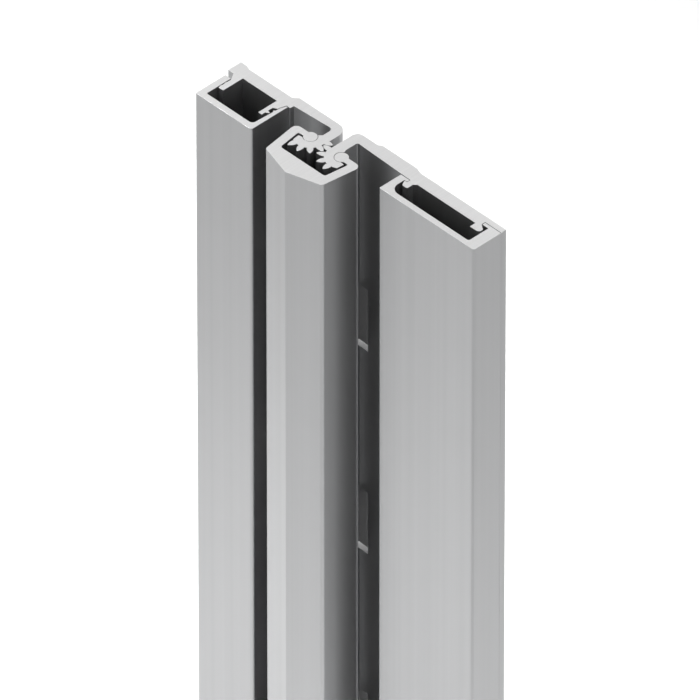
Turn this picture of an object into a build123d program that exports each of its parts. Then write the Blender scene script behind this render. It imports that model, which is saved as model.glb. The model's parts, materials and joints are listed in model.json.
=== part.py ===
from build123d import *

import os
from math import acos, atan2, cos, degrees, hypot, pi, radians, sin, tan

# Full surface geared continuous hinge, a cut length of its aluminium extrusions.
# Millimetres. X runs across the hinge from the frame leaf to the door leaf, Y from its front to its back,
# and Z along it. The origin is half way along the frame leaf's screw line, on the back of its plate.
# Every section is drawn about the middle between the two gear axes, on the section plane below.

# Length, and the stations along it
LENGTH = 304.8
SCREW_COUNT = 4
SCREW_PITCH = 65.0
BEARING_COUNT = 3
BEARING_PITCH = 85.7
BEARING_DROP = 4.6

# Gears: two equal sectors, one on each leaf
MODULE = 1.2
TEETH = 12
PRESSURE_ANGLE = 30.0
ADDENDUM = 1.2
DEDENDUM = 1.5
BACKLASH = 0.12
TOOTH_ROOT_LAP = 0.6
FRAME_TOOTH_COUNT = 5
DOOR_TOOTH_COUNT = 4
TURN_LIMIT = 70.0

# Beads of the gear cap and the sockets that they turn in
BEAD_R = 2.4
BEAD_CLEARANCE = 0.14
JAW = 2.4
CLAW_ANGLE = 62.6
CLAW_TOP = 3.4
CLAW_DIP = 1.7
HORN_ANGLE = 228.0
HORN_LIP = 0.14
HORN_DROP = 2.1
HORN_SIDE = 3.2
SECTOR_FOOT = 2.3

# Gear cap: its walls, measured outwards from the gear axes
NOSE_PROUD = 0.8
CAP_FLOOR_GAP = 1.2
CAP_SIDE_BACK = 4.2
CAP_SIDE_FRONT = 3.0
CAP_WALL_BACK = 3.7
CAP_WALL_FRONT = 2.8
CAP_FLOOR = 4.0
CAP_RIDGE = 3.8
CAP_BACK_ROUND = 2.0
CAP_LEFT_ROUND = 1.0
CAP_RIGHT_ROUND = 1.6
CAP_RIDGE_ROUND = 0.5
CAVITY_BACK_ROUND = 0.6
CAVITY_FRONT_ROUND = 1.0

# Frame leaf
FRAME_ARM_INNER = 2.3
FRAME_ARM = 3.7
FRAME_ARM_FOOT_ANGLE = 26.25
FRAME_WEB = 3.2
FRAME_WEB_GAP = 0.76
FRAME_WEB_TAPER = 0.9
FRAME_ARM_ROUND = 4.0
FRAME_POCKET_ROUND = 1.5
FRAME_STEP = 1.6
FRAME_STEP_RUN = 1.7
FRAME_STEP_INSET = 0.6
FRAME_PLATE = 4.6
FRAME_LAP = 1.2
FRAME_LIP = 0.45
FRAME_SHELF = 0.5
FRAME_SHELF_LAP = 0.9
FRAME_SHELF_SLOPE = 0.1
FRAME_FOOT = 0.7
FRAME_FOOT_WIDTH = 2.95
FRAME_FOOT_RUN = 1.55

# Barbed tongues of the frame leaf, in depths below the front of its plate
LEFT_TONGUE = 2.2
LEFT_TONGUE_DEPTH = 8.8
LEFT_TONGUE_ROOT = 3.2
LEFT_TONGUE_FLARE = 1.8
LEFT_TONGUE_GAP = 0.4
LEFT_BARBS = (7.5, 5.4)
RIGHT_TONGUE = 1.65
RIGHT_TONGUE_DEPTH = 8.3
RIGHT_TONGUE_GAP = 1.1
RIGHT_BARBS = (5.9, 2.6)
BARB_RAMP = 0.9
BARB_BACK = 0.5
BARB_CLEARANCE = 0.12
SHOULDER_SEAM = 0.2

# Frame cover
SWEEP_GAP = 0.25
FRAME_COVER_WIDTH = 25.7
FRAME_COVER_DEPTH = 16.1
FRAME_COVER_FRONT = 2.5
FRAME_COVER_LEFT = 2.6
FRAME_COVER_RIGHT = 2.0
FRAME_COVER_NECK = 1.4
FRAME_COVER_TIP = 0.6
FRAME_COVER_TAPER = 2.5
COVER_END_GAP = 0.2
FRAME_COVER_LEFT_GAP = 2.35
FRAME_COVER_ROUNDS = (0.4, 1.2, 1.5, 0.5)
RIB_HEIGHT = 0.6
RIB_HALF = 0.5

# Door leaf
DOOR_ARM_INNER = 1.6
DOOR_ARM = 4.0
DOOR_ARM_FOOT = 1.2
DOOR_ARM_ROUND = 2.5
DOOR_POCKET_ROUND = 0.8
DOOR_WEB = 3.9
DOOR_WEB_GAP = 1.66
DOOR_PLATE = 4.75
DOOR_PAD = 0.9
DOOR_PAD_START = 3.7
DOOR_PAD_RAMP = 1.5
DOOR_PAD_LAP = 1.4
DOOR_PAD_END_RAMP = 2.8
DOOR_TAB = 2.2

# Door cover, and the J hooks of the door leaf that hold its lips
DOOR_COVER_REACH = 19.4
DOOR_COVER_WIDTH = 43.4
DOOR_COVER_DEPTH = 9.85
DOOR_COVER_FRONT = 2.2
DOOR_COVER_LEFT = 2.8
DOOR_COVER_RIGHT = 4.6
DOOR_COVER_ROUNDS = (0.4, 1.0, 0.8, 3.5)
DOOR_EDGE = 0.15
LEFT_LIP = 1.2
LEFT_LIP_THICK = 1.2
RIGHT_LIP = 2.7
RIGHT_LIP_THICK = 1.3
LIP_GAP = 0.2
HOOK_GAP = 0.15
LEFT_HOOK_TOE = 0.6
LEFT_HOOK_DEPTH = 3.65
LEFT_HOOK_TIP = 0.5
LEFT_HOOK_STEM = 2.2
LEFT_HOOK_FLARE = 1.1
LEFT_HOOK_ROUND = 0.5
RIGHT_HOOK_TOE = 0.7
RIGHT_HOOK_DEPTH = 2.45
RIGHT_HOOK_NECK = 1.9
RIGHT_HOOK_SLOPE = 1.5
RIGHT_HOOK_HEEL = (1.1, 0.5)
RIGHT_HOOK_ROUNDS = (0.8, 0.9)

# Screw holes for flat head screws, drilled from the hollow side of each plate
SCREW_R = 2.9
SINK_R = 5.6
SINK_ANGLE = 82

# Thrust bearings: a notch milled through both leaves, with one acetal block in each
NOTCH_REACH = 3.4
NOTCH_CUT = 24.0
NOTCH_HEIGHT = 25.4
NOTCH_RELIEF = 0.3
BLOCK_SHORT = 2.4
BLOCK_CLEARANCE = 0.1
NOSE_TOP_GAP = 0.5

# How far a cutting face reaches past what it cuts
BEYOND = 12.0

# Gear radii
pitch_r = MODULE * TEETH / 2
base_r = pitch_r * cos(radians(PRESSURE_ANGLE))
tip_r = pitch_r + ADDENDUM
root_r = pitch_r - DEDENDUM
socket_r = BEAD_R + BEAD_CLEARANCE
nose_r = tip_r + NOSE_PROUD
tooth_step = 360 / TEETH
frame_axis = -pitch_r
door_axis = pitch_r

# Gear cap
cavity_y = -(nose_r + CAP_FLOOR_GAP)
cap_back = pitch_r + CAP_SIDE_BACK + CAP_WALL_BACK
cap_front = pitch_r + CAP_SIDE_FRONT + CAP_WALL_FRONT
cap_front_y = cavity_y - CAP_FLOOR

# The cap's back corner swings under the webs, and its front corner past the frame cover
corner_side = cap_back - pitch_r - CAP_BACK_ROUND
corner_dip = CAP_BACK_ROUND - JAW / 2
corner_swing = hypot(corner_side, corner_dip) + CAP_BACK_ROUND
corner_angle = radians(180 - TURN_LIMIT) + atan2(corner_dip, corner_side)
corner_y = corner_swing * sin(corner_angle)
front_swing = hypot(cap_front - pitch_r, cap_front_y)

# Frame leaf, from the cap outwards
frame_web_front = corner_y + FRAME_WEB_GAP
frame_web_back = frame_web_front + FRAME_WEB
frame_back = frame_web_back - FRAME_STEP
frame_front = frame_back - FRAME_PLATE
frame_cover_right = frame_axis - front_swing - SWEEP_GAP
frame_cover_left = frame_cover_right - FRAME_COVER_WIDTH
frame_wall_right = frame_cover_right - FRAME_COVER_RIGHT
frame_wall_left = frame_cover_left + FRAME_COVER_LEFT
frame_cover_front = frame_front - FRAME_COVER_DEPTH
right_tongue_outer = frame_wall_right - RIGHT_TONGUE_GAP
right_tongue_inner = right_tongue_outer - RIGHT_TONGUE
left_tongue_outer = frame_wall_left + LEFT_TONGUE_GAP
left_tongue_inner = left_tongue_outer + LEFT_TONGUE
frame_screw_x = (left_tongue_inner + right_tongue_inner) / 2
shelf_y = frame_front + FRAME_SHELF

# Door leaf, from the cap outwards
door_web_front = corner_y + DOOR_WEB_GAP
door_back = door_web_front + DOOR_WEB
door_front = door_back - DOOR_PLATE
door_cover_left = door_axis + DOOR_COVER_REACH
door_cover_right = door_cover_left + DOOR_COVER_WIDTH
door_wall_left = door_cover_left + DOOR_COVER_LEFT
door_wall_right = door_cover_right - DOOR_COVER_RIGHT
door_cover_front = door_front - DOOR_COVER_DEPTH
tab_y = door_back - DOOR_TAB
left_lip_end = door_wall_left + LEFT_LIP
left_lip_back = door_front - DOOR_EDGE
left_lip_y = left_lip_back - LEFT_LIP_THICK
right_lip_end = door_wall_right - RIGHT_LIP
right_lip_back = tab_y - DOOR_EDGE
right_lip_y = right_lip_back - RIGHT_LIP_THICK
left_stem = left_lip_end + LIP_GAP
right_stem = right_lip_end - LIP_GAP
door_screw_x = (left_stem + LEFT_HOOK_STEM + LEFT_HOOK_FLARE + right_stem - RIGHT_HOOK_NECK) / 2

# Places along the hinge
bearing_z = [BEARING_PITCH * ((BEARING_COUNT - 1) / 2 - i) - BEARING_DROP for i in range(BEARING_COUNT)]


def section_plane(z):
    """The plane of a cross section at a height, with its origin between the gear axes."""
    return Plane(origin=(-frame_screw_x, -frame_back, z), x_dir=(1, 0, 0), z_dir=(0, 0, 1))


def polar(radius, angle):
    """A point at a radius and an angle in degrees."""
    return radius * cos(radians(angle)), radius * sin(radians(angle))


def between(start, end, y):
    """The X at a given Y on the straight line from start to end."""
    return start[0] + (end[0] - start[0]) * (y - start[1]) / (end[1] - start[1])


def outline(*corners):
    """A face with the given corners: (x, y), or (x, y, radius) where the corner is rounded."""
    with BuildSketch() as face:
        with BuildLine():
            Polyline(*[corner[:2] for corner in corners], close=True)
        make_face()
        for corner in corners:
            if len(corner) == 3:
                fillet(face.vertices().sort_by_distance(corner[:2])[0], radius=corner[2])
    return face.sketch


def half_tooth(radius):
    """Half the angle of a tooth at a radius, in degrees, on its involute flank."""
    def roll(pressure):
        return tan(pressure) - pressure
    half_at_pitch = (pi * MODULE / 2 - BACKLASH) / (2 * pitch_r)
    return degrees(half_at_pitch + roll(radians(PRESSURE_ANGLE)) - roll(acos(base_r / radius)))


def tooth(angle):
    """One gear tooth about the origin, with involute flanks, pointing at an angle."""
    radii = (base_r, pitch_r, tip_r)
    low = [polar(radius, angle - half_tooth(radius)) for radius in radii]
    high = [polar(radius, angle + half_tooth(radius)) for radius in radii]
    inside = root_r - TOOTH_ROOT_LAP
    foot = [polar(inside, angle + side * half_tooth(base_r)) for side in (1, -1)]
    with BuildSketch() as face:
        with BuildLine():
            Line(foot[1], low[0])
            ThreePointArc(*low)
            ThreePointArc(low[2], polar(tip_r, angle), high[2])
            ThreePointArc(*reversed(high))
            Polyline(high[0], *foot)
        make_face()
    return face.sketch


def keep_area(arm_inner, arm_outer, top):
    """What is left of a disc on the left axis: open where the cap's neck swings, flat under the arm."""
    return outline(
        (0, 0),
        polar(socket_r + HORN_LIP, HORN_ANGLE),
        (-HORN_SIDE, -HORN_DROP),
        (-SECTOR_FOOT, -BEYOND),
        (BEYOND, -BEYOND),
        (BEYOND, top),
        (arm_outer, top),
        (arm_inner, CLAW_TOP),
        polar(socket_r, CLAW_ANGLE),
    )


def gear_sector(tooth_angles, keep):
    """A gear sector about the origin: its root disc and teeth, cut to the area that it keeps."""
    with BuildSketch() as sector:
        Circle(root_r)
        for angle in tooth_angles:
            add(tooth(angle))
        add(keep, mode=Mode.INTERSECT)
    return sector.sketch


def bearing_nose(keep):
    """The plain disc that a thrust block has in the gear's place."""
    with BuildSketch() as nose:
        Circle(nose_r)
        add(keep, mode=Mode.INTERSECT)
        with Locations((0, CLAW_TOP - NOSE_TOP_GAP + BEYOND)):
            Rectangle(2 * BEYOND, 2 * BEYOND, mode=Mode.SUBTRACT)
    return nose.sketch


def claw(arm_inner, arm_outer, arm_root):
    """The foot of an arm on the left axis, round the socket's open end."""
    tip = polar(socket_r, CLAW_ANGLE)
    return [(arm_outer, arm_root), (arm_inner, tip[1] - CLAW_DIP), tip, (arm_inner, CLAW_TOP)]


def barb(face, tip, y):
    """A saw tooth on a tongue's outer face."""
    return outline((face, y - BARB_RAMP), (tip, y), (face, y + BARB_BACK))


# Frame leaf: a plate with two barbed tongues, a web, and an arm that ends in the gear sector
frame_arm_outer = FRAME_ARM_INNER + FRAME_ARM
frame_arm_root = polar(root_r, FRAME_ARM_FOOT_ANGLE)[1]
frame_keep = keep_area(FRAME_ARM_INNER, frame_arm_outer, CLAW_TOP)
frame_claw = [(frame_axis + x, y) for x, y in claw(FRAME_ARM_INNER, frame_arm_outer, frame_arm_root)]
frame_plate_left = frame_cover_left - FRAME_LAP
frame_foot_end = frame_plate_left + FRAME_FOOT_WIDTH
frame_step = frame_cover_right - FRAME_STEP_INSET
frame_shelf_end = frame_cover_right + FRAME_SHELF_LAP
wall_neck = (frame_cover_right - FRAME_COVER_NECK, shelf_y - COVER_END_GAP - FRAME_COVER_TAPER)
wall_foot = (frame_wall_right, frame_cover_front + FRAME_COVER_FRONT)
right_barbs = [
    (between(wall_foot, wall_neck, frame_front - depth) - BARB_CLEARANCE, frame_front - depth)
    for depth in RIGHT_BARBS
]

with BuildSketch() as frame_plate_section:
    add(
        outline(
            (frame_plate_left, frame_back + FRAME_FOOT),
            (frame_foot_end, frame_back + FRAME_FOOT),
            (frame_foot_end + FRAME_FOOT_RUN, frame_back),
            (frame_step - FRAME_STEP_RUN, frame_back),
            (frame_step, frame_web_back),
            (frame_axis + frame_arm_outer, frame_web_back, FRAME_ARM_ROUND),
            *frame_claw,
            (frame_axis + FRAME_ARM_INNER, frame_web_front, FRAME_POCKET_ROUND),
            (frame_shelf_end + FRAME_SHELF_SLOPE, frame_web_front - FRAME_WEB_TAPER),
            (frame_shelf_end, shelf_y),
            (frame_cover_right - FRAME_COVER_TIP - SHOULDER_SEAM, shelf_y),
            (wall_neck[0] - SHOULDER_SEAM, wall_neck[1]),
            right_barbs[-1],
            (right_tongue_outer, right_barbs[-1][1]),
            (right_tongue_outer, frame_front - RIGHT_TONGUE_DEPTH),
            (right_tongue_inner, frame_front - RIGHT_TONGUE_DEPTH),
            (right_tongue_inner, frame_front),
            (left_tongue_inner, frame_front),
            (left_tongue_inner, frame_front - LEFT_TONGUE_DEPTH),
            (left_tongue_outer, frame_front - LEFT_TONGUE_DEPTH),
            (left_tongue_outer, frame_front - LEFT_TONGUE_ROOT),
            (left_tongue_outer - LEFT_TONGUE_FLARE, frame_front - FRAME_LIP),
            (frame_plate_left, frame_front - FRAME_LIP),
        )
    )
    for right_barb in right_barbs:
        add(barb(right_tongue_outer, *right_barb))
    for depth in LEFT_BARBS:
        add(barb(left_tongue_outer, frame_wall_left + BARB_CLEARANCE, frame_front - depth))

with BuildSketch() as frame_leaf_section:
    add(frame_plate_section.sketch)
    frame_teeth = [tooth_step / 2 - tooth_step * i for i in range(FRAME_TOOTH_COUNT)]
    with Locations((frame_axis, 0)):
        add(gear_sector(frame_teeth, frame_keep))
        Circle(socket_r, mode=Mode.SUBTRACT)

# Frame cover: a deep channel that snaps over the barbs, its right wall thinned towards the tip
with BuildSketch() as frame_cover_section:
    left_front, right_front, right_inner, left_inner = FRAME_COVER_ROUNDS
    cover_tip_y = shelf_y - COVER_END_GAP
    left_end_y = frame_front - FRAME_LIP - FRAME_COVER_LEFT_GAP
    add(
        outline(
            (frame_cover_left, left_end_y),
            (frame_cover_left, frame_cover_front, left_front),
            (frame_cover_right, frame_cover_front, right_front),
            (frame_cover_right, cover_tip_y),
            (frame_cover_right - FRAME_COVER_TIP, cover_tip_y),
            wall_neck,
            (*wall_foot, right_inner),
            (frame_wall_left, wall_foot[1], left_inner),
            (frame_wall_left, left_end_y),
        )
    )
    rib_y = frame_front - sum(RIGHT_BARBS) / len(RIGHT_BARBS)
    rib_ends = (rib_y - RIB_HALF, rib_y + RIB_HALF)
    rib_root = [(between(wall_foot, wall_neck, y), y) for y in rib_ends]
    add(outline(*rib_root, (between(wall_foot, wall_neck, rib_y) - RIB_HEIGHT, rib_y)))

# Door leaf: a plate with two J hooks, a web with a raised pad, and an arm that ends in the gear sector
door_arm_outer = DOOR_ARM_INNER + DOOR_ARM
door_keep = keep_area(DOOR_ARM_INNER, door_arm_outer, DOOR_ARM_FOOT)
door_claw = [(door_axis - x, y) for x, y in claw(DOOR_ARM_INNER, door_arm_outer, DOOR_ARM_FOOT)]
pad_start = door_axis + DOOR_PAD_START
pad_end = door_cover_left + DOOR_PAD_LAP
hook_toe_y = left_lip_y - HOOK_GAP
hook_tip = (door_wall_left + LEFT_LIP - LEFT_HOOK_TOE - LIP_GAP, hook_toe_y - LEFT_HOOK_TIP)
left_hook_y = door_front - LEFT_HOOK_DEPTH
stem_right = left_stem + LEFT_HOOK_STEM
right_toe = door_wall_right - RIGHT_HOOK_TOE
right_hook_y = door_front - RIGHT_HOOK_DEPTH
right_toe_y = right_lip_y - HOOK_GAP
heel_run, heel_rise = RIGHT_HOOK_HEEL
toe_round, heel_round = RIGHT_HOOK_ROUNDS

with BuildSketch() as door_plate_section:
    add(
        outline(
            door_claw[0],
            (door_axis - door_arm_outer, door_back, DOOR_ARM_ROUND),
            (pad_start, door_back),
            (pad_start + DOOR_PAD_RAMP, door_back + DOOR_PAD),
            (pad_end, door_back + DOOR_PAD),
            (pad_end + DOOR_PAD_END_RAMP, door_back),
            (door_cover_right - DOOR_EDGE, door_back),
            (door_cover_right - DOOR_EDGE, tab_y),
            (right_stem, tab_y),
            (right_stem, right_toe_y),
            (right_toe, right_toe_y - RIGHT_HOOK_SLOPE, toe_round),
            (right_toe, right_hook_y + heel_rise, heel_round),
            (right_toe - heel_run, right_hook_y),
            (right_stem - RIGHT_HOOK_NECK, right_hook_y),
            (right_stem - RIGHT_HOOK_NECK, door_front),
            (stem_right + LEFT_HOOK_FLARE, door_front),
            (stem_right, door_front - LEFT_HOOK_FLARE),
            (stem_right, left_hook_y, LEFT_HOOK_ROUND),
            (left_stem, left_hook_y, LEFT_HOOK_ROUND),
            hook_tip,
            (hook_tip[0], hook_toe_y),
            (left_stem, hook_toe_y),
            (left_stem, door_front),
            (door_axis - DOOR_ARM_INNER, door_web_front, DOOR_POCKET_ROUND),
            *reversed(door_claw[1:]),
        )
    )

with BuildSketch() as door_leaf_section:
    add(door_plate_section.sketch)
    door_teeth = [-tooth_step * i for i in range(DOOR_TOOTH_COUNT)]
    with Locations((door_axis, 0)):
        add(mirror(gear_sector(door_teeth, door_keep), about=Plane.YZ, mode=Mode.PRIVATE))
        Circle(socket_r, mode=Mode.SUBTRACT)

# Door cover: a wide shallow channel with a lip on each wall that clicks behind the hooks
with BuildSketch() as door_cover_section:
    left_front, right_front, right_inner, left_inner = DOOR_COVER_ROUNDS
    inner_front = door_cover_front + DOOR_COVER_FRONT
    add(
        outline(
            (door_cover_left, left_lip_back),
            (door_cover_left, door_cover_front, left_front),
            (door_cover_right, door_cover_front, right_front),
            (door_cover_right, right_lip_back),
            (right_lip_end, right_lip_back),
            (right_lip_end, right_lip_y),
            (door_wall_right, right_lip_y),
            (door_wall_right, inner_front, right_inner),
            (door_wall_left, inner_front, left_inner),
            (door_wall_left, left_lip_y),
            (left_lip_end, left_lip_y),
            (left_lip_end, left_lip_back),
        )
    )

# Gear cap: a channel with a ridged front, whose jaws end in the beads that hold the gears in mesh
with BuildSketch() as gear_cap_section:
    cavity_back = pitch_r + CAP_SIDE_BACK
    cavity_front = pitch_r + CAP_SIDE_FRONT
    add(
        outline(
            (-cap_back, JAW / 2, CAP_BACK_ROUND),
            (-cap_front, cap_front_y, CAP_LEFT_ROUND),
            (0, cap_front_y - CAP_RIDGE, CAP_RIDGE_ROUND),
            (cap_front, cap_front_y, CAP_RIGHT_ROUND),
            (cap_back, JAW / 2, CAP_BACK_ROUND),
            (door_axis, JAW / 2),
            (door_axis, -JAW / 2),
            (cavity_back, -JAW / 2, CAVITY_BACK_ROUND),
            (cavity_front, cavity_y, CAVITY_FRONT_ROUND),
            (-cavity_front, cavity_y, CAVITY_FRONT_ROUND),
            (-cavity_back, -JAW / 2, CAVITY_BACK_ROUND),
            (frame_axis, -JAW / 2),
            (frame_axis, JAW / 2),
        )
    )
    with Locations((frame_axis, 0), (door_axis, 0)):
        Circle(BEAD_R)


def block_section(plate, keep, axis, side):
    """A thrust block's two sections: the arm's back, at full height, and the nose round the socket."""
    notch_edge = axis - side * (NOTCH_REACH - BLOCK_CLEARANCE)
    inner_edge = axis + side * pitch_r
    with BuildSketch() as body:
        add(plate)
        with Locations(((notch_edge + inner_edge) / 2, CLAW_TOP + BEYOND)):
            Rectangle(abs(inner_edge - notch_edge), 2 * BEYOND, mode=Mode.INTERSECT)
    with BuildSketch() as nose:
        add(plate)
        with Locations(((notch_edge + inner_edge) / 2, CLAW_TOP - BEYOND)):
            Rectangle(abs(inner_edge - notch_edge), 2 * BEYOND, mode=Mode.INTERSECT)
        with Locations((axis, 0)):
            disc = bearing_nose(keep)
            add(disc if side > 0 else mirror(disc, about=Plane.YZ, mode=Mode.PRIVATE))
            Circle(socket_r, mode=Mode.SUBTRACT)
    return body.sketch, nose.sketch


pieces = []


def finish(name, part):
    """Labels a piece and keeps it for export."""
    part.label = name
    pieces.append(part)


# Extruded pieces
with BuildPart() as gear_cap:
    with BuildSketch(section_plane(-LENGTH / 2)):
        add(gear_cap_section.sketch)
    extrude(amount=LENGTH)
finish("gear_cap", gear_cap.part)

with BuildPart() as frame_cover:
    with BuildSketch(section_plane(-LENGTH / 2)):
        add(frame_cover_section.sketch)
    extrude(amount=LENGTH)
finish("frame_cover", frame_cover.part)

with BuildPart() as door_cover:
    with BuildSketch(section_plane(-LENGTH / 2)):
        add(door_cover_section.sketch)
    extrude(amount=LENGTH)
finish("door_cover", door_cover.part)

# Leaves, notched for their bearings and drilled for their screws. Each notch runs on past the end where the
# other leaf's block is seated, so that no leaf rubs on the other's blocks.
leaves = (
    ("frame_leaf", frame_leaf_section, frame_axis, 1, frame_screw_x, frame_front),
    ("door_leaf", door_leaf_section, door_axis, -1, door_screw_x, door_front),
)
for leaf_name, leaf_section, axis, side, screw_x, front in leaves:
    with BuildPart() as leaf:
        with BuildSketch(section_plane(-LENGTH / 2)):
            add(leaf_section.sketch)
        extrude(amount=LENGTH)
        notch_edge = axis - side * NOTCH_REACH
        notch_length = NOTCH_HEIGHT + NOTCH_RELIEF
        for z in bearing_z:
            notch_start = z + (side * NOTCH_RELIEF - notch_length) / 2
            with BuildSketch(section_plane(notch_start)):
                with Locations((notch_edge + side * BEYOND, 0)):
                    Rectangle(2 * BEYOND, 2 * NOTCH_CUT)
            extrude(amount=notch_length, mode=Mode.SUBTRACT)
        drill_origin = (screw_x - frame_screw_x, front - frame_back, 0)
        with Locations(Plane(origin=drill_origin, x_dir=(1, 0, 0), z_dir=(0, -1, 0))):
            with GridLocations(SINK_R, SCREW_PITCH, 1, SCREW_COUNT):
                CounterSinkHole(SCREW_R, SINK_R, counter_sink_angle=SINK_ANGLE)
    finish(leaf_name, leaf.part)

# Thrust blocks: the frame's stands on the foot of its notch, the door's hangs from the head of its own,
# and the noses meet half way up
block_height = NOTCH_HEIGHT - BLOCK_SHORT
nose_height = (NOTCH_HEIGHT - BLOCK_CLEARANCE) / 2
frame_body, frame_nose = block_section(frame_plate_section.sketch, frame_keep, frame_axis, 1)
door_body, door_nose = block_section(door_plate_section.sketch, door_keep, door_axis, -1)
for number, z in enumerate(bearing_z, start=1):
    notch_foot = z - NOTCH_HEIGHT / 2
    notch_head = z + NOTCH_HEIGHT / 2
    with BuildPart() as frame_block:
        with BuildSketch(section_plane(notch_foot)):
            add(frame_body)
        extrude(amount=block_height)
        with BuildSketch(section_plane(notch_foot)):
            add(frame_nose)
        extrude(amount=nose_height)
    finish(f"frame_thrust_block_{number}", frame_block.part)
    with BuildPart() as door_block:
        with BuildSketch(section_plane(notch_head - block_height)):
            add(door_body)
        extrude(amount=block_height)
        with BuildSketch(section_plane(notch_head - nose_height)):
            add(door_nose)
        extrude(amount=nose_height)
    finish(f"door_thrust_block_{number}", door_block.part)

os.makedirs("parts", exist_ok=True)
for piece in pieces:
    export_step(piece, f"parts/{piece.label}.step")
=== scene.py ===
"""The looks of a cut length of full surface geared continuous hinge.

Satin anodised extrusions with fine die lines and broken edges, bright sawn ends, and matt moulded bearings.
The scene is in metres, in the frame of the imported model: X across the hinge, Y towards the wall, Z up.
"""

import json
import logging
from dataclasses import dataclass, field
from enum import Enum
from math import cos, radians, sin
from typing import Any

import bmesh
import bpy
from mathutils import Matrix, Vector

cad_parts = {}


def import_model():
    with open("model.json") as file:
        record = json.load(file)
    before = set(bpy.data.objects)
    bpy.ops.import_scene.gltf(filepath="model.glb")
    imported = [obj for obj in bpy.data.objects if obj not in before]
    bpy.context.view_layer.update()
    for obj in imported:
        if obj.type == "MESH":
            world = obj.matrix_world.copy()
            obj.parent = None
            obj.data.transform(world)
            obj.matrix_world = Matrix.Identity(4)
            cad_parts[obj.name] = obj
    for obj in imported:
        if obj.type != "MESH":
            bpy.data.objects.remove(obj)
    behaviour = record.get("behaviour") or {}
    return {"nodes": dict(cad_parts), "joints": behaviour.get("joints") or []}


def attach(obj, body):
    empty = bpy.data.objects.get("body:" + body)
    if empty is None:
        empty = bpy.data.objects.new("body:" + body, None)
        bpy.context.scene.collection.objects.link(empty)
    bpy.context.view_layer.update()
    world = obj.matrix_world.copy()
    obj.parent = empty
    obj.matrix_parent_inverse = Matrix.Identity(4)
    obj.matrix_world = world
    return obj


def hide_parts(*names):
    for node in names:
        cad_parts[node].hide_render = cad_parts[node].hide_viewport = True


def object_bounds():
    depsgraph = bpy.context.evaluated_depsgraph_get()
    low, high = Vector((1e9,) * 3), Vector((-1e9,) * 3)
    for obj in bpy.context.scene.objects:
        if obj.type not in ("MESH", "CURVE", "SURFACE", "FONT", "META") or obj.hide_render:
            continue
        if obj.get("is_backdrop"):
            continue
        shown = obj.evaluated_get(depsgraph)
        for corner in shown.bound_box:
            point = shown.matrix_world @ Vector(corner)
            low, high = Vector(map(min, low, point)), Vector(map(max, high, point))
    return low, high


LOG = logging.getLogger("hinge")
MM = 0.001
FINE_DETAIL = 3.0
SOFT_DETAIL = 2.0
Colour = tuple[float, float, float, float]


def grey(tone: float) -> Colour:
    """A plain grey of a tone from 0 to 1."""
    return (tone, tone, tone, 1.0)


WHITE = grey(1.0)


class Finish(Enum):
    """A piece's finishes, as places in its list of materials."""

    SIDE = 0
    END = 1


class MixColour(Enum):
    """Where a colour Mix node keeps its colours, among sockets of the same name."""

    LOW = 6
    HIGH = 7
    RESULT = 2


class MixSurface(Enum):
    """Where a Mix Shader node takes its two surfaces."""

    FIRST = 1
    SECOND = 2


@dataclass
class ShaderMath:
    """A shader socket that takes part in Python expressions, which add Math nodes to its tree."""

    tree: bpy.types.NodeTree
    socket: bpy.types.NodeSocket

    def _join(self, operation: str, first: Any, second: Any) -> "ShaderMath":
        """Adds a Math node.

        Args:
            operation: The Math node's operation.
            first: Its first value, a number or a wrapped socket.
            second: Its second value, a number or a wrapped socket.

        Returns:
            The wrapped result.
        """
        node = self.tree.nodes.new("ShaderNodeMath")
        node.operation = operation
        for place, value in enumerate((first, second)):
            if isinstance(value, ShaderMath):
                self.tree.links.new(value.socket, node.inputs[place])
            else:
                node.inputs[place].default_value = value
        return ShaderMath(self.tree, node.outputs[0])

    def __add__(self, other: Any) -> "ShaderMath":
        """The sum."""
        return self._join("ADD", self, other)

    def __radd__(self, other: Any) -> "ShaderMath":
        """The sum, with a number first."""
        return self._join("ADD", other, self)

    def __mul__(self, other: Any) -> "ShaderMath":
        """The product."""
        return self._join("MULTIPLY", self, other)

    def __rmul__(self, other: Any) -> "ShaderMath":
        """The product, with a number first."""
        return self._join("MULTIPLY", other, self)


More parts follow.
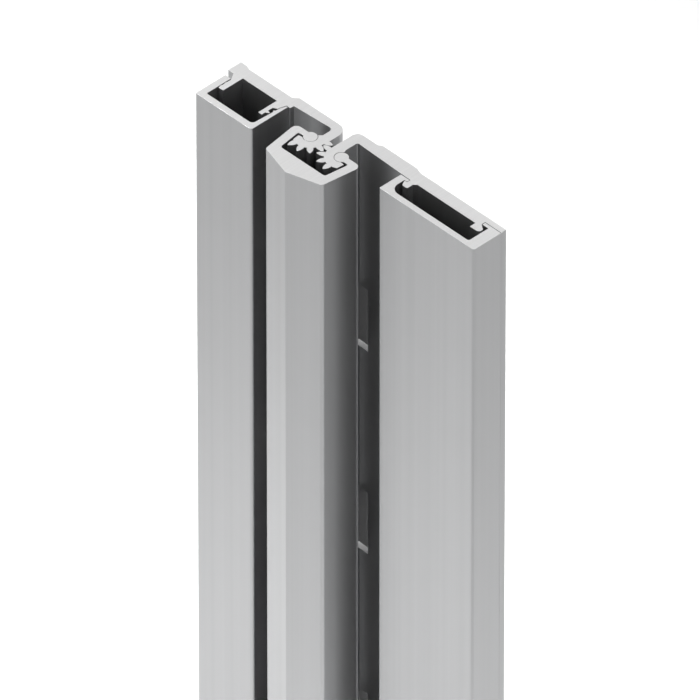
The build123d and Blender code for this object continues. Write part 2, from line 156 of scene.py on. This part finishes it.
class ShaderSheet:
    """One material's node tree, with the methods that fill it."""

    def __init__(self, name: str) -> None:
        """Starts an empty material.

        Args:
            name: The material's name.
        """
        self.material = bpy.data.materials.new(name)
        self.material.use_nodes = True
        self.tree = self.material.node_tree
        self.tree.nodes.clear()

    def node(self, kind: str, settings: dict[str, Any], inputs: dict[str, Any]) -> bpy.types.Node:
        """Adds a node.

        Args:
            kind: The node's type.
            settings: Its own settings, which are set first.
            inputs: The values, links or wrapped sockets of its inputs, by name.

        Returns:
            The new node.
        """
        node = self.tree.nodes.new(kind)
        for name, value in settings.items():
            setattr(node, name, value)
        for name, value in inputs.items():
            if isinstance(value, ShaderMath):
                self.tree.links.new(value.socket, node.inputs[name])
            elif isinstance(value, bpy.types.NodeSocket):
                self.tree.links.new(value, node.inputs[name])
            else:
                node.inputs[name].default_value = value
        return node

    def wrap(self, socket: bpy.types.NodeSocket) -> ShaderMath:
        """A socket ready for expressions."""
        return ShaderMath(self.tree, socket)

    def noise(
        self,
        pitch: float,
        detail: float,
        stretch: tuple[float, float, float] = (1.0, 1.0, 1.0),
        turn: float = 0.0,
    ) -> ShaderMath:
        """Noise on the object's own coordinates.

        Args:
            pitch: The size of its cells, in metres.
            detail: Octaves of detail.
            stretch: The scale of the pattern along each axis.
            turn: Degrees that the pattern is turned about the hinge's length.

        Returns:
            The noise, from 0 to 1.
        """
        place = self.node("ShaderNodeTexCoord", {}, {})
        layout = {"Vector": place.outputs["Object"], "Rotation": (0.0, 0.0, radians(turn)), "Scale": stretch}
        mapped = self.node("ShaderNodeMapping", {}, layout)
        cells = {"Vector": mapped.outputs["Vector"], "Scale": 1 / pitch, "Detail": detail}
        made = self.node("ShaderNodeTexNoise", {}, cells)
        return self.wrap(made.outputs["Fac"])

    def spread(self, middle: float, width: float, factor: ShaderMath) -> ShaderMath:
        """A value that varies about its middle.

        Args:
            middle: The value where the factor is a half.
            width: How far apart the values at 0 and 1 are.
            factor: The factor.

        Returns:
            The value.
        """
        return (middle - width / 2) + width * factor

    def shade(self, low: Colour, high: Colour, factor: ShaderMath) -> bpy.types.NodeSocket:
        """A colour between two, by a factor.

        Args:
            low: The colour at 0.
            high: The colour at 1.
            factor: The mix.

        Returns:
            The colour's socket.
        """
        mix = self.node("ShaderNodeMix", {"data_type": "RGBA"}, {})
        self.tree.links.new(factor.socket, mix.inputs["Factor"])
        mix.inputs[MixColour.LOW.value].default_value = low
        mix.inputs[MixColour.HIGH.value].default_value = high
        return mix.outputs[MixColour.RESULT.value]

    def finish(self, inputs: dict[str, Any]) -> bpy.types.Material:
        """Adds the surface shader and the output.

        Args:
            inputs: The surface shader's inputs.

        Returns:
            The finished material.
        """
        surface = self.node("ShaderNodeBsdfPrincipled", {}, inputs)
        self.node("ShaderNodeOutputMaterial", {}, {"Surface": surface.outputs["BSDF"]})
        return self.material

    def bump(self, height: ShaderMath, distance: float) -> bpy.types.NodeSocket:
        """Relief for the surface shader's normal.

        Args:
            height: The relief, from 0 to 1.
            distance: How deep it is, in metres.

        Returns:
            The normal's socket.
        """
        made = self.node("ShaderNodeBump", {}, {"Height": height, "Strength": 1.0, "Distance": distance})
        return made.outputs["Normal"]


@dataclass(frozen=True)
class SatinAnodised:
    """Clear satin anodising on an extrusion: soft sheen, with faint die lines along its length."""

    name: str = "satin_anodised"
    low: Colour = (0.43, 0.433, 0.438, 1.0)
    high: Colour = (0.52, 0.523, 0.528, 1.0)
    metal: float = 1.0
    roughness: float = 0.36
    roughness_width: float = 0.08
    line_pitch: float = 0.25 * MM
    broad_pitch: float = 2.5 * MM
    line_stretch: float = 0.004
    line_depth: float = 0.002 * MM
    cloud_pitch: float = 30 * MM
    cloud_stretch: float = 0.35
    fine_share: float = 0.6
    line_share: float = 0.5
    tint_share: float = 0.7

    def build(self) -> bpy.types.Material:
        """The finish as a material."""
        sheet = ShaderSheet(self.name)
        along = (1.0, 1.0, self.line_stretch)
        fine = sheet.noise(self.line_pitch, SOFT_DETAIL, along)
        broad = sheet.noise(self.broad_pitch, FINE_DETAIL, along)
        cloud = sheet.noise(self.cloud_pitch, SOFT_DETAIL, (1.0, 1.0, self.cloud_stretch))
        lines = self.fine_share * fine + (1 - self.fine_share) * broad
        uneven = self.line_share * lines + (1 - self.line_share) * cloud
        tint = self.tint_share * broad + (1 - self.tint_share) * cloud
        return sheet.finish(
            {
                "Base Color": sheet.shade(self.low, self.high, tint),
                "Metallic": self.metal,
                "Roughness": sheet.spread(self.roughness, self.roughness_width, uneven),
                "Normal": sheet.bump(lines, self.line_depth),
            }
        )


@dataclass(frozen=True)
class SawnEnd:
    """The bright face that a cold saw leaves across an extrusion, with the marks of its teeth."""

    name: str = "sawn_end"
    low: Colour = grey(0.63)
    high: Colour = grey(0.74)
    metal: float = 0.6
    roughness: float = 0.5
    roughness_width: float = 0.12
    mark_pitch: float = 0.35 * MM
    mark_stretch: float = 0.03
    mark_angle: float = 24.0
    mark_depth: float = 0.006 * MM

    def build(self) -> bpy.types.Material:
        """The finish as a material."""
        sheet = ShaderSheet(self.name)
        cut = sheet.noise(self.mark_pitch, FINE_DETAIL, (1.0, self.mark_stretch, 1.0), self.mark_angle)
        return sheet.finish(
            {
                "Base Color": sheet.shade(self.low, self.high, cut),
                "Metallic": self.metal,
                "Roughness": sheet.spread(self.roughness, self.roughness_width, cut),
                "Normal": sheet.bump(cut, self.mark_depth),
            }
        )


@dataclass(frozen=True)
class MouldedAcetal:
    """The matt grey acetal of a thrust block, with a faint moulded grain."""

    name: str = "moulded_acetal"
    low: Colour = (0.40, 0.40, 0.405, 1.0)
    high: Colour = (0.46, 0.46, 0.465, 1.0)
    roughness: float = 0.48
    roughness_width: float = 0.1
    grain_pitch: float = 0.4 * MM
    grain_depth: float = 0.01 * MM
    cloud_pitch: float = 8 * MM

    def build(self) -> bpy.types.Material:
        """The finish as a material."""
        sheet = ShaderSheet(self.name)
        grain = sheet.noise(self.grain_pitch, FINE_DETAIL)
        cloud = sheet.noise(self.cloud_pitch, SOFT_DETAIL)
        return sheet.finish(
            {
                "Base Color": sheet.shade(self.low, self.high, cloud),
                "Roughness": sheet.spread(self.roughness, self.roughness_width, grain),
                "Normal": sheet.bump(grain, self.grain_depth),
            }
        )


def add_object(name: str, data: bpy.types.ID) -> bpy.types.Object:
    """Adds an object to the scene.

    Args:
        name: Its name.
        data: Its mesh, lamp or camera.

    Returns:
        The new object, at the origin.
    """
    made = bpy.data.objects.new(name, data)
    bpy.context.scene.collection.objects.link(made)
    return made


def face_towards(thing: bpy.types.Object, target: Vector) -> None:
    """Turns a lamp or camera to face a point.

    Args:
        thing: The lamp or camera, in its place.
        target: The point.
    """
    thing.rotation_mode = "QUATERNION"
    thing.rotation_quaternion = (target - thing.location).to_track_quat("-Z", "Y")


@dataclass(frozen=True)
class EdgeBreak:
    """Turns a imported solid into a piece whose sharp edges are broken, as on the real one."""

    radius: float = 0.08 * MM
    segments: int = 2
    weld: float = 0.0005 * MM
    flat_angle: float = radians(0.2)
    sharp_angle: float = radians(28.0)
    smooth_angle: float = radians(50.0)
    end_normal: float = 0.98
    face_weight: int = 100

    def dress(
        self, source: bpy.types.Object, name: str, side: bpy.types.Material, end: bpy.types.Material
    ) -> bpy.types.Object:
        """Copies a solid, breaks its edges and gives its sides and ends their finishes.

        Args:
            source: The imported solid's object.
            name: The new piece's name.
            side: The finish of its sides.
            end: The finish of its cut ends.

        Returns:
            The new piece, at the origin.
        """
        shape = bmesh.new()
        shape.from_mesh(source.data)
        bmesh.ops.remove_doubles(shape, verts=shape.verts, dist=self.weld)
        bmesh.ops.dissolve_limit(
            shape, angle_limit=self.flat_angle, verts=shape.verts, edges=shape.edges, delimit=set()
        )
        folds = (edge for edge in shape.edges if edge.is_manifold)
        sharp = [edge for edge in folds if edge.calc_face_angle() > self.sharp_angle]
        bmesh.ops.bevel(
            shape,
            geom=sharp,
            offset=self.radius,
            offset_type="OFFSET",
            segments=self.segments,
            profile=0.5,
            affect="EDGES",
            clamp_overlap=True,
            material=-1,
        )
        for face in shape.faces:
            face.smooth = True
            finish = Finish.END if abs(face.normal.z) > self.end_normal else Finish.SIDE
            face.material_index = finish.value
        mesh = bpy.data.meshes.new(name)
        shape.to_mesh(mesh)
        shape.free()
        mesh.materials.append(side)
        mesh.materials.append(end)
        mesh.set_sharp_from_angle(angle=self.smooth_angle)
        piece = add_object(name, mesh)
        weighted = piece.modifiers.new("weighted_normals", "WEIGHTED_NORMAL")
        weighted.weight = self.face_weight
        weighted.keep_sharp = True
        return piece


@dataclass
class HingeSide:
    """A group of pieces that move as one body of the hinge."""

    body: str
    extrusions: tuple[str, ...]
    blocks: tuple[str, ...] = ()
    edge: EdgeBreak = field(default_factory=EdgeBreak)

    def build(
        self,
        nodes: dict[str, bpy.types.Object],
        aluminium: bpy.types.Material,
        sawn: bpy.types.Material,
        acetal: bpy.types.Material,
    ) -> None:
        """Dresses each extrusion and thrust block and hangs it on its body.

        Args:
            nodes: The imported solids, by name.
            aluminium: The finish of an extrusion's sides.
            sawn: The finish of its sawn ends.
            acetal: The finish of the thrust blocks.
        """
        for name in self.extrusions:
            self._hang(nodes, name, aluminium, sawn)
        for name in self.blocks:
            self._hang(nodes, name, acetal, acetal)

    def _hang(
        self,
        nodes: dict[str, bpy.types.Object],
        name: str,
        side: bpy.types.Material,
        end: bpy.types.Material,
    ) -> None:
        """Dresses one solid and puts it in the solid's place.

        Args:
            nodes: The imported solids, by name.
            name: The solid's name.
            side: The finish of its sides.
            end: The finish of its ends.
        """
        piece = self.edge.dress(nodes[name], f"{name}_finished", side, end)
        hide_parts(name)
        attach(piece, self.body)
        LOG.info("%s: %d faces on %s", piece.name, len(piece.data.polygons), self.body)


@dataclass(frozen=True)
class Lamp:
    """A soft square lamp, placed by its bearing from what it faces.

    Lengths are in metres and angles in degrees.
    """

    name: str
    azimuth: float
    elevation: float
    watts: float
    distance: float = 1.0
    width: float = 0.8

    def build(self, target: Vector) -> None:
        """Adds the lamp.

        Args:
            target: The point that it faces.
        """
        data = self._light()
        data.energy = self.watts
        lamp = add_object(self.name, data)
        lamp.location = target + self.distance * bearing(self.azimuth, self.elevation)
        face_towards(lamp, target)
        LOG.info("%s at %.1f W", self.name, self.watts)

    def _light(self) -> bpy.types.Light:
        """The light itself, a square."""
        data = bpy.data.lights.new(self.name, "AREA")
        data.shape = "SQUARE"
        data.size = self.width
        return data


@dataclass(frozen=True)
class FloorLamp(Lamp):
    """A spot that lights a pool on the floor, which the hinge's upright faces mirror."""

    width: float = 0.2
    cone: float = 30.0
    reach: float = 0.0

    def build(self, target: Vector) -> None:
        """Adds the lamp, facing the floor on its own side of the hinge.

        Args:
            target: The floor under the hinge.
        """
        super().build(target + self.reach * bearing(self.azimuth, 0.0))

    def _light(self) -> bpy.types.Light:
        """The light itself, a spot with a soft rim."""
        data = bpy.data.lights.new(self.name, "SPOT")
        data.spot_size = radians(self.cone)
        data.spot_blend = 1.0
        data.shadow_soft_size = self.width / 2
        return data


def bearing(azimuth: float, elevation: float) -> Vector:
    """The direction to a point seen from the hinge.

    Args:
        azimuth: Degrees round from the front, towards the right.
        elevation: Degrees above the horizon.

    Returns:
        The unit vector.
    """
    turn = radians(azimuth)
    rise = radians(elevation)
    return Vector((sin(turn) * cos(rise), -cos(turn) * cos(rise), sin(rise)))


@dataclass
class Studio:
    """The camera, lamps, floor and white surroundings, with lengths in metres and angles in degrees."""

    azimuth: float = 46.0
    elevation: float = 40.0
    lens: float = 1400.0
    sensor: float = 36.0
    frame_width: float = 225.8 * MM
    clip_near: float = 0.1
    clip_far: float = 4.0
    view_right: float = 7.7 * MM
    view_drop: float = 85.0 * MM
    floor_size: float = 12.0
    floor_tone: float = 0.80
    floor_glow: float = 0.6
    world_strength: float = 0.24
    white_rays: tuple[str, ...] = ("Is Camera Ray", "Is Glossy Ray", "Is Transmission Ray")
    lamps: tuple[Lamp, ...] = (
        Lamp("key_lamp", azimuth=-60.0, elevation=40.0, watts=3.0),
        Lamp("top_lamp", azimuth=20.0, elevation=82.0, watts=1.2),
        Lamp("side_lamp", azimuth=75.0, elevation=25.0, watts=2.2, distance=1.2, width=0.6),
    )
    floor_lamps: tuple[FloorLamp, ...] = (
        FloorLamp("front_floor_lamp", azimuth=-46.0, elevation=55.0, watts=58.0, cone=32.0, reach=0.06),
        FloorLamp("left_floor_lamp", azimuth=-122.0, elevation=78.0, watts=60.0, cone=30.0, reach=0.28),
        FloorLamp("right_floor_lamp", azimuth=134.0, elevation=78.0, watts=40.0, cone=26.0, reach=0.17),
        FloorLamp(
            "back_lamp", azimuth=-134.0, elevation=90.0, watts=18.0, cone=50.0, reach=0.38, distance=0.8
        ),
    )

    def build(self, middle: Vector, top: float, foot: float) -> None:
        """Adds everything that isn't the hinge.

        Args:
            middle: The middle between the gear axes, in plan.
            top: The height of the hinge's upper end.
            foot: The height of its lower end.
        """
        target = Vector((middle.x, middle.y, (top + foot) / 2))
        for lamp in self.lamps:
            lamp.build(target)
        ground = Vector((middle.x, middle.y, foot))
        for lamp in self.floor_lamps:
            lamp.build(ground)
        self._camera(middle, top)
        self._floor(foot)
        self._world()
        bpy.context.scene.view_settings.view_transform = "Standard"

    def _camera(self, middle: Vector, top: float) -> None:
        """Adds a long-lens camera at the photograph's viewing angle.

        Args:
            middle: The middle between the gear axes, in plan.
            top: The height of the hinge's upper end.
        """
        turn = radians(self.azimuth)
        right = Vector((cos(turn), sin(turn), 0.0))
        aim = Vector((middle.x, middle.y, top - self.view_drop)) + self.view_right * right
        data = bpy.data.cameras.new("camera")
        data.lens = self.lens
        data.sensor_width = self.sensor
        away = self.frame_width * self.lens / self.sensor
        data.clip_start = away * self.clip_near
        data.clip_end = away * self.clip_far
        camera = add_object("camera", data)
        camera.location = aim + away * bearing(self.azimuth, self.elevation)
        face_towards(camera, aim)
        bpy.context.scene.camera = camera

    def _seen_white(self, tree: bpy.types.NodeTree) -> ShaderMath:
        """A mask of the rays that show the white surroundings: the camera's, and those in metal or glass.

        Args:
            tree: The tree that the mask is in.

        Returns:
            The mask.
        """
        path = tree.nodes.new("ShaderNodeLightPath")
        kinds = [ShaderMath(tree, path.outputs[name]) for name in self.white_rays]
        return kinds[0] + kinds[1] + kinds[2]

    def _floor(self, foot: float) -> None:
        """Adds a pale floor that shows white but keeps the hinge's shadow.

        Args:
            foot: The height of the hinge's lower end.
        """
        shape = bmesh.new()
        bmesh.ops.create_grid(shape, x_segments=1, y_segments=1, size=self.floor_size / 2)
        bmesh.ops.translate(shape, verts=shape.verts, vec=Vector((0.0, 0.0, foot)))
        mesh = bpy.data.meshes.new("floor")
        shape.to_mesh(mesh)
        shape.free()
        sheet = ShaderSheet("pale_floor")
        paint = sheet.node("ShaderNodeBsdfDiffuse", {}, {"Color": grey(self.floor_tone)})
        glow = sheet.node("ShaderNodeEmission", {}, {"Color": WHITE, "Strength": 1.0})
        mix = sheet.node("ShaderNodeMixShader", {}, {"Fac": self.floor_glow * self._seen_white(sheet.tree)})
        sheet.tree.links.new(paint.outputs["BSDF"], mix.inputs[MixSurface.FIRST.value])
        sheet.tree.links.new(glow.outputs["Emission"], mix.inputs[MixSurface.SECOND.value])
        sheet.node("ShaderNodeOutputMaterial", {}, {"Surface": mix.outputs["Shader"]})
        mesh.materials.append(sheet.material)
        floor = add_object("floor", mesh)
        floor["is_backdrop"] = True

    def _world(self) -> None:
        """Makes the surroundings white where they are seen, and a soft plain light on matt surfaces."""
        world = bpy.data.worlds.new("surroundings")
        world.use_nodes = True
        bpy.context.scene.world = world
        tree = world.node_tree
        tree.nodes.clear()
        strength = self.world_strength + (1 - self.world_strength) * self._seen_white(tree)
        light = tree.nodes.new("ShaderNodeBackground")
        light.inputs["Color"].default_value = WHITE
        tree.links.new(strength.socket, light.inputs["Strength"])
        output = tree.nodes.new("ShaderNodeOutputWorld")
        tree.links.new(light.outputs["Background"], output.inputs["Surface"])


def main() -> None:
    """Builds the hinge's pieces and its studio."""
    logging.basicConfig(level=logging.INFO, format="%(name)s: %(message)s")
    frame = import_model()
    cad_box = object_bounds()
    nodes = frame["nodes"]
    joints = {joint["name"]: joint for joint in frame["joints"]}
    frame_axis = Vector(joints["cap_turn"]["pos_m"])
    door_axis = Vector(joints["door_turn"]["pos_m"])

    aluminium = SatinAnodised().build()
    sawn = SawnEnd().build()
    acetal = MouldedAcetal().build()
    frame_blocks = tuple(sorted(name for name in nodes if name.startswith("frame_thrust_block")))
    door_blocks = tuple(sorted(name for name in nodes if name.startswith("door_thrust_block")))
    sides = (
        HingeSide("frame side", ("frame_leaf", "frame_cover"), frame_blocks),
        HingeSide("cap", ("gear_cap",)),
        HingeSide("door side", ("door_leaf", "door_cover"), door_blocks),
    )
    for side in sides:
        side.build(nodes, aluminium, sawn, acetal)

    low, high = cad_box
    Studio().build((frame_axis + door_axis) / 2, high.z, low.z)


if __name__ == "__main__":
    main()
